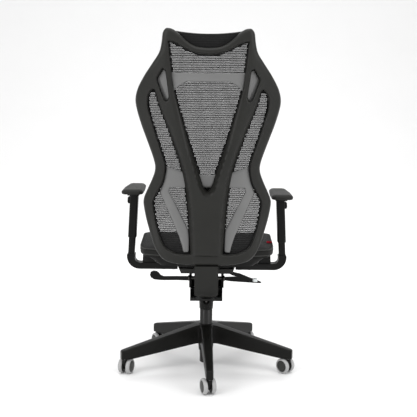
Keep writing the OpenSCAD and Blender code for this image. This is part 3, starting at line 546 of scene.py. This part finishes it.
# ------------------------------------------------------------------ back mesh, knitted tapes joined by threads
MESH_W = [[480, 150], [520, 180], [600, 208], [676, 222], [730, 206], [808, 172], [860, 180], [922, 206], [1000, 236],
          [1061, 246], [1110, 228], [1160, 194], [1227, 160], [1310, 148]]
def mesh_piece():
    pitch, tp, tw = 8.0, 3.8, 1.8
    bands = (1.8, 1.2, 1.9, 1.2, 1.9)
    xs = np.array([v for i in range(-66, 67) for v in (i * tp - tw / 2, i * tp + tw / 2)])
    zs, kind = [], []
    z = 481.0
    while z < 1304:
        for k, b in enumerate(bands):
            zs.append(z); kind.append(k); z += b
    zs = np.array(zs); kind = np.array(kind[:-1])
    cx, cz = (xs[:-1] + xs[1:]) / 2, (zs[:-1] + zs[1:]) / 2
    CX, CZ = np.meshgrid(cx, cz)
    U = CX / read(MESH_W, CZ)
    low = np.where(np.abs(U) < 1, 481 + 6 * U * U, 9999)
    keep = (np.abs(U) < 1) & (CZ > low) & (CZ < 1290 + 12 * U * U)
    hole_cell = keep & np.isin(kind, (1, 3))[:, None] & (np.arange(len(cx)) % 2 == 1)[None, :]
    pts = np.c_[CX[hole_cell], CZ[hole_cell]]
    free = np.zeros(len(pts), bool)
    for w in (side_r, side_l, centre):
        w = resample(w, 4.0)
        m = inside(pts, w)
        d = np.zeros(len(pts)); d[m] = dist(pts[m], w)
        # the bound edge is scalloped where the rows meet it
        free |= m & (d > 4.6 + 1.6 * np.sin(pts[:, 1] * 2 * math.pi / 16.0))
    gone = np.zeros(hole_cell.shape, bool)
    gone[np.where(hole_cell)[0][free], np.where(hole_cell)[1][free]] = True
    J, I = np.where(keep & ~gone)
    W = len(xs)
    quads = np.stack([J * W + I, J * W + I + 1, (J + 1) * W + I + 1, (J + 1) * W + I], 1)
    used, inv = np.unique(quads.ravel(), return_inverse=True)
    jj, ii = used // W, used % W
    rng = np.random.default_rng(7)
    x = xs[ii]
    zz = zs[jj] + rng.normal(0, 0.02, len(used)) + 0.25 * np.sin(ii * 0.45 + jj * 0.2)
    y = S(x, zz) + 1.0 + 0.25 * np.where(np.isin(kind[np.clip(jj, 0, len(kind) - 1)], (0,)), 1, -1)
    o = new_obj("back_mesh_fabric", np.c_[x, y, zz], inv.reshape(-1, 4))
    return o, (kind[J] == 0)
mesh_o, is_rib = mesh_piece()
paint(mesh_o, M_MESH, M_RIB)
mesh_o.data.polygons.foreach_set('material_index', is_rib.astype(np.int32))
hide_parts("back_mesh"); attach(mesh_o, "back")

# ------------------------------------------------------------------ head panel: a padded strip on the front of the mesh
def ring_form(name, rows, cap_start=True, cap_end=True, closed=True, sharp=None):
    n = len(rows[0])
    verts = [tuple(p) for r in rows for p in r]
    faces = []
    for a in range(len(rows) - 1):
        for i in range(n):
            j = (i + 1) % n
            faces.append((a*n + i, a*n + j, (a+1)*n + j, (a+1)*n + i))
    if cap_start:
        faces.append(tuple(range(n))[::-1])
    if cap_end:
        faces.append(tuple((len(rows)-1)*n + i for i in range(n)))
    return outward(new_obj(name, verts, faces, sharp=sharp))

head_low = [(u, 1228 + 40*u*u) for u in np.linspace(-1, 1, 61)]
head_top = [(u, 1291.5 + 15*u*u) for u in np.linspace(1, -1, 61)]
head_loop = np.array([(u * (145 - 0.05*(1300 - z)), z) for u, z in head_low + head_top])
head = plate("head_panel_pad", [head_loop], 3.0, 7.0,
             lambda p, do, di: S(p[:, 0], p[:, 1]) - 0.4 - 1.2 * (1 - dome(do, 4)),
             lambda p, do, di: S(p[:, 0], p[:, 1]) - 2.6 - 7.6 * dome(do, 11) - 1.2 * (1 - dome(do, 4)), rings=(0.9, 2.2, 4.2, 7.5))
paint(head, M_HEAD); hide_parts("head_panel"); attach(head, "back")
hem = tube("head_hem", [(u * (145 - 0.05*(1300 - z)), float(S(u * 145, z)) - 2.6, z) for u, z in [(u, 1290.4 + 15*u*u) for u in np.linspace(-0.985, 0.985, 61)]], 2.2)
paint(hem, M_PIPE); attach(hem, "back")

# ------------------------------------------------------------------ seat
SEAT = smooth([[0, -250], [120, -249], [210, -246], [246, -237], [264, -215], [266, -180], [264, -100], [262, 0], [259, 70], [246, 118], [226, 134], [160, 152], [80, 171], [0, 176]], 8)
seat_loop = resample(both([tuple(q) for q in SEAT]), 8.0)
def ring_at(loop, inset_mm, z, centre=(0, -30)):
    c = np.array(centre, float)
    t = np.roll(loop, -1, 0) - np.roll(loop, 1, 0)
    t /= np.linalg.norm(t, axis=1)[:, None]
    n = np.c_[t[:, 1], -t[:, 0]]
    if ((loop - c) * n).sum() < 0:
        n = -n
    p = loop - n * inset_mm
    return np.c_[p, np.full(len(p), float(z))]
def scaled(loop, s, z, centre=(0, -30)):
    c = np.array(centre, float)
    p = c + (loop - c) * s
    return np.c_[p, np.full(len(p), float(z))]
core = ring_at(seat_loop, 24, 0)[:, :2]
def crown(s):
    return 505.6 - 3.2 * s**3
rows = [ring_at(seat_loop, 9, 476), ring_at(seat_loop, 4, 478), ring_at(seat_loop, 2, 484), ring_at(seat_loop, 1.4, 490), ring_at(seat_loop, 2.4, 496), ring_at(seat_loop, 5, 500), ring_at(seat_loop, 12, 502)]
rows += [scaled(core, s, crown(s)) for s in (1.0, 0.9, 0.78, 0.66, 0.54, 0.42, 0.3, 0.18, 0.07)]
cush = ring_form("seat_cushion_fabric", rows)
bm = bmesh.new(); bm.from_mesh(cush.data)
bmesh.ops.triangulate(bm, faces=[f for f in bm.faces if len(f.verts) > 4]); bm.to_mesh(cush.data); bm.free()

def inflate(o, voxel, cap, pressure=4.0, pin=None, steps=20):
    """Puffs the form with cloth, holding each point within cap of where it began."""
    bpy.context.view_layer.objects.active = o
    for s in bpy.context.selected_objects:
        s.select_set(False)
    o.select_set(True)
    r = o.modifiers.new("remesh", 'REMESH'); r.mode = 'VOXEL'; r.voxel_size = voxel * MM; r.use_smooth_shade = True
    bpy.ops.object.modifier_apply(modifier=r.name)
    rest = np.array([v.co for v in o.data.vertices])
    if pin is not None:
        g = o.vertex_groups.new(name="hold")
        for i, c in enumerate(rest):
            w = pin(c)
            if w > 0:
                g.add([i], w, 'REPLACE')
    c = o.modifiers.new("cloth", 'CLOTH')
    st = c.settings
    st.quality = 6; st.mass = 0.3
    st.tension_stiffness = 18; st.compression_stiffness = 18; st.shear_stiffness = 6; st.bending_stiffness = 0.6
    st.use_pressure = True; st.uniform_pressure_force = pressure
    st.effector_weights.gravity = 0
    if pin is not None:
        st.vertex_group_mass = "hold"
    c.point_cache.frame_start = 1; c.point_cache.frame_end = steps
    for f in range(1, steps + 1):
        scene.frame_set(f)
    dg = bpy.context.evaluated_depsgraph_get()
    ev = o.evaluated_get(dg)
    co = np.array([v.co for v in ev.data.vertices])
    scene.frame_set(1)
    o.modifiers.remove(c)
    d = co - rest
    L = np.linalg.norm(d, axis=1)
    k = np.where(L > cap * MM, cap * MM / np.maximum(L, 1e-9), 1.0)
    new = rest + d * k[:, None]
    o.data.vertices.foreach_set("co", new.astype(np.float32).ravel())
    o.vertex_groups.clear()
    o.data.polygons.foreach_set("use_smooth", [True] * len(o.data.polygons))
    o.data.update()
    return o

inflate(cush, 6, 5, pressure=4.0, pin=lambda c: 1.0 if c[2] < 0.4995 else 0.0)
sub = cush.modifiers.new("subdivide", 'SUBSURF'); sub.levels = 1; sub.render_levels = 1
# the side band is a lighter cloth
paint(cush, M_SEAT, M_BAND)
for p in cush.data.polygons:
    c = p.center
    if c.z < 0.497 and abs(p.normal.z) < 0.75:
        p.material_index = 1
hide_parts("seat_cushion"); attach(cush, "seat")
loop_fine = resample(both([tuple(q) for q in SEAT]), 5.0)
for nm, ins, z, r_ in (("seat_piping_top", 4.2, 499.6, 2.2), ("seat_piping_low", 5.0, 477.6, 2.2)):
    pp = tube(nm, ring_at(loop_fine, ins, z), r_, closed=True)
    paint(pp, M_PIPE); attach(pp, "seat")
# plain cloth tag in the seam, sitter's right
tag = ring_form("seat_tag", [[(-235.5, 2, 501.5 + dz), (-258, -7, 501 + dz * 0.9), (-257.6, -8.2, 501 + dz * 0.9), (-235.1, 0.8, 501.5 + dz)] for dz in (0, 3, 6, 9)])
paint(tag, M_TAG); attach(tag, "seat")

# ------------------------------------------------------------------ arm pads
PW, PL = 82, 240
PAD = [(-PW/2 + 4, -PL/2 + 16), (-PW/2 + 14, -PL/2), (PW/2 - 20, -PL/2), (PW/2 - 8, -PL/2 + 16), (PW/2, 0), (PW/2, PL/2 - 16),
       (PW/2 - 10, PL/2), (-PW/2 + 10, PL/2), (-PW/2, PL/2 - 16), (-PW/2, 0)]
pad_loop = resample(round_corners(PAD, 5), 5.0)
for side_n, sg in (("left", 1), ("right", -1)):
    lo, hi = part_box("arm_pad_" + side_n)
    cx, cy = (lo.x + hi.x) / 2 * 1000, (lo.y + hi.y) / 2 * 1000
    z0, z1 = lo.z * 1000, hi.z * 1000
    lp = pad_loop.copy()
    if sg < 0:
        lp = (lp * [-1, 1])[::-1]
    lp = lp - (lp.max(0) + lp.min(0)) / 2
    rows = [ring_at(lp, i, z, (0, 0)) for i, z in ((9, z0 + 0.3), (4.5, z0 + 0.8), (1.2, z0 + 2.4), (0.2, z0 + 6), (0, z0 + 10), (0.6, z0 + 12.4), (3.4, z0 + 15.6), (7.6, z0 + 18.6), (10, z0 + 19.6))]
    core_ = ring_at(lp, 13, 0, (0, 0))[:, :2]
    rows += [scaled(core_, s, z0 + 20.2 + 0.6 * (1 - s*s), (0, 0)) for s in (1, 0.8, 0.6, 0.4, 0.2, 0.05)]
    rows = [r + [cx, cy, 0] for r in rows]
    pd = ring_form("arm_pad_%s_skin" % side_n, rows)
    paint(pd, M_PAD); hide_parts("arm_pad_" + side_n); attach(pd, "arm_" + side_n)

# ------------------------------------------------------------------ five-leg base
L0, REACH = 92.7, 350.0
def leg_rows():
    rows = []
    for r in [14, 26, 34, 38, 43, 50, 60, 75, 100, 140, 180, 220, 260, 300, 322, 336, 344, 348.5, 350]:
        t = (r - 38) / (REACH - 38)
        top = 176 + (96 - 176) * max(0, t) if r < 345 else 96 - (r - 345) * 0.5
        top = min(top, 175.5)
        bot = 102 + (62 - 102) * min(1, max(0, (r - 48) / 260))
        w = (46 + (27 - 46) * max(0, min(1, (r - 30) / 308))) / 2
        w += 9.0 * math.exp(-max(0, r - 30) / 11.0)
        if r < 34:
            w = min(w, 12 + r * 0.5)
        if r > 343:
            w -= (r - 343)**2 * 0.05
        c = 3.4
        chan = 1.0 if 60 < r < 300 else 0.0
        e = 3.6
        up_ = min(16, (top - bot) * 0.5) * chan
        pts = [(-w, bot), (-w - 0.3, bot + (top - bot) * 0.5), (-w, top - c), (-w + c, top), (0, top + 0.7), (w - c, top), (w, top - c), (w + 0.3, bot + (top - bot) * 0.5), (w, bot),
               (w - e, bot), (w - e - 1, bot + up_), (0, bot + up_), (-w + e + 1, bot + up_), (-w + e, bot)]
        rows.append([(r, y, z) for y, z in pts])
    return rows
for k in range(5):
    a = math.radians(L0 + 72 * k)
    ca, sa = math.cos(a), math.sin(a)
    rows = [[(x * ca - y * sa, x * sa + y * ca, z) for x, y, z in r] for r in leg_rows()]
    o = ring_form("base_leg_%d" % (k + 1), rows, sharp=28)
    bevel(o, 0.9, 2, 26)
    paint(o, M_BASE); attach(o, "base")
    sx, sy = 337 * ca, 337 * sa
    bo, _ = lathe("stem_socket_%d" % (k + 1), [(5.6, 61), (10.5, 61), (11.5, 62), (11.5, 72), (5.6, 72)], 40, centre=(sx, sy))
    paint(bo, M_BASE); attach(bo, "base")
hub, _ = lathe("base_hub", [(25.2, 177), (30.5, 177), (33, 176), (34.4, 173), (35, 150), (35, 110), (33.5, 101), (31.5, 97), (29.5, 80), (28, 67.5), (26.5, 66), (25.2, 66)], 96)
paint(hub, M_BASE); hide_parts("star_base"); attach(hub, "base")
col, _ = lathe("column_tube_skin", [(23, 234.2), (23.8, 235), (24.4, 235), (25, 234.2), (25, 60), (24.4, 42), (24.2, 19.2), (23.4, 18), (5.2, 18), (5.2, 22), (23, 22)], 96)
paint(col, M_TUBE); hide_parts("column_tube"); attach(col, "base")

# ------------------------------------------------------------------ casters
TURN = [16, -30, -117, -9, 50]
WR, TR = 30.0, 17.0
for k in range(5):
    la, ph = math.radians(L0 + 72 * k), math.radians(L0 + 72 * k + TURN[k])
    s_ = Vector((337 * math.cos(la), 337 * math.sin(la), 0))
    R = Matrix.Translation(s_ * MM) @ Matrix.Rotation(ph, 4, 'Z')
    fo = soften("caster_fork_%d" % (k + 1), 1.6, 3, 30)
    paint(fo, M_CAST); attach(fo, "caster_%d" % (k + 1))
    for w_, sg in (("a", 1), ("b", -1)):
        # section of the wheel: tread first, then the dished cap
        prof = [(4.3, 0), (24, 0), (26, 0.4), (28.4, 1.6), (29.6, 3.6), (30, 6), (30, 9.5), (29.5, 12.4), (28.2, 14.6), (26.2, 16), (24.4, 16.5), (23.0, 16.1), (22.4, 15.2),
                (22.0, 14.6), (21.4, 15.0), (20.6, 15.9), (18, 16.5), (12, 16.9), (6, 17), (0.2, 17), (0.2, 15.9), (4.3, 15.9)]
        matid = [1, 1, 0, 0, 0, 0, 0, 0, 0, 0, 0, 0, 1, 1, 1, 1, 1, 1, 1, 1, 1, 1]
        o, idx = lathe("wheel_%d%s_skin" % (k + 1, w_), prof, 64, mats=matid)
        o.data.transform(R @ Matrix.Translation(Vector((-TR, 0, WR)) * MM) @ Matrix.Rotation(math.radians(-90 if sg > 0 else 90), 4, 'X') @ Matrix.Translation(Vector((0, 0, 8.0)) * MM))
        paint(o, M_TREAD, M_CAP)
        for p, i in zip(o.data.polygons, idx):
            p.material_index = i
        if o.data.polygons:
            outward(o)
        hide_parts("wheel_%d%s" % (k + 1, w_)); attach(o, "wheel_%d%s" % (k + 1, w_))

# ------------------------------------------------------------------ hard parts that keep their CAD shape, with eased edges
for node, w_, m, body, sl in (
        ("back_stem", 4.0, M_STEM, "back", "frame_plastic"), ("mech_housing", 0.7, M_MECH, "chassis", "mech_paint"),
        ("dust_shroud", 0.5, M_BASE, "chassis", "base_nylon"), ("tension_knob", 0.9, M_LEVER, "tension_knob", "lever_plastic"),
        ("slide_carriage", 1.0, M_STEM, "carriage", "frame_plastic"), ("seat_pan", 1.5, M_PAN, "seat", "frame_plastic"),
        ("lift_lever", 2.6, M_LEVER, "lift_lever", "lever_plastic"), ("tilt_lever", 3.4, M_LEVER, "tilt_lever", "lever_plastic"),
        ("slide_lever", 2.4, M_LEVER, "slide_lever", "lever_plastic"), ("slide_lever_tip", 0.8, M_CLEAR, "slide_lever", "clear_plastic"),
        ("arm_bracket_left", 6.0, M_ARM, "seat", "mech_paint"), ("arm_bracket_right", 6.0, M_ARM, "seat", "mech_paint"),
        ("arm_upright_left", 0.6, M_ARM, "seat", "mech_paint"), ("arm_upright_right", 0.6, M_ARM, "seat", "mech_paint"),
        ("arm_sleeve_left", 1.0, M_ARM, "arm_left", "lever_plastic"), ("arm_sleeve_right", 1.0, M_ARM, "arm_right", "lever_plastic"),
        ("pad_plate_left", 1.4, M_ARM, "arm_left", "lever_plastic"), ("pad_plate_right", 1.4, M_ARM, "arm_right", "lever_plastic"),
        ("arm_button_left", 1.2, M_LEVER, "button_left", "lever_plastic"), ("arm_button_right", 1.2, M_LEVER, "button_right", "lever_plastic")):
    o = soften(node, w_, 3)
    paint(o, m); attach(o, body)

# ------------------------------------------------------------------ stage
def stage_floor():
    s = 14.0
    verts, faces = [], []
    n = 24
    # a floor that sweeps up behind the object, so there is no horizon
    prof = [(6, 0), (-4, 0)] + [(-4 - 3 * math.sin(t), 3 - 3 * math.cos(t)) for t in np.linspace(0.1, math.pi / 2, 10)] + [(-7, 9)]
    for y, z in prof:
        verts += [(-s, y, z), (s, y, z)]
    for i in range(len(prof) - 1):
        faces.append((2*i, 2*i + 1, 2*i + 3, 2*i + 2))
    o = new_obj("floor", verts, faces, mm=False)
    m, nt, b = principled("floor_paint")
    mp = mapped(nt)
    n1 = nt.nodes.new("ShaderNodeTexNoise"); n1.inputs["Scale"].default_value = 3
    link(nt, mp, "Vector", n1, "Vector")
    rp = nt.nodes.new("ShaderNodeValToRGB")
    rp.color_ramp.elements[0].color = (0.86, 0.86, 0.86, 1); rp.color_ramp.elements[1].color = (0.88, 0.88, 0.88, 1)
    link(nt, n1, "Fac", rp, "Fac"); link(nt, rp, "Color", b, "Base Color")
    b.inputs["Roughness"].default_value = 0.9
    b.inputs["Specular IOR Level"].default_value = 0.1
    paint(o, m)
stage_floor()

world = bpy.data.worlds.new("studio")
scene.world = world
world.use_nodes = True
bg = world.node_tree.nodes["Background"]
bg.inputs["Color"].default_value = (1, 1, 1, 1)
bg.inputs["Strength"].default_value = 0.85

def area_light(name, loc, target, size, power):
    d = bpy.data.lights.new(name, 'AREA'); d.shape = 'RECTANGLE'; d.size, d.size_y = size; d.energy = power
    o = bpy.data.objects.new(name, d); scene.collection.objects.link(o)
    o.location = loc
    o.rotation_euler = (Vector(target) - Vector(loc)).to_track_quat('-Z', 'Y').to_euler()
    return o
area_light("top_soft", (0, 0.8, 3.6), (0, 0, 0.5), (3.0, 3.0), 55)
area_light("left_soft", (2.6, 2.4, 1.9), (0, 0, 0.8), (1.2, 2.4), 42)
area_light("right_soft", (-2.6, 2.0, 1.7), (0, 0, 0.8), (1.0, 2.2), 30)
area_light("floor_wash", (0, -2.6, 3.2), (0, -3.2, 0.2), (4.0, 2.0), 60)

scene.view_settings.view_transform = 'Standard'
scene.view_settings.look = 'None'
scene.view_settings.exposure = 0.0
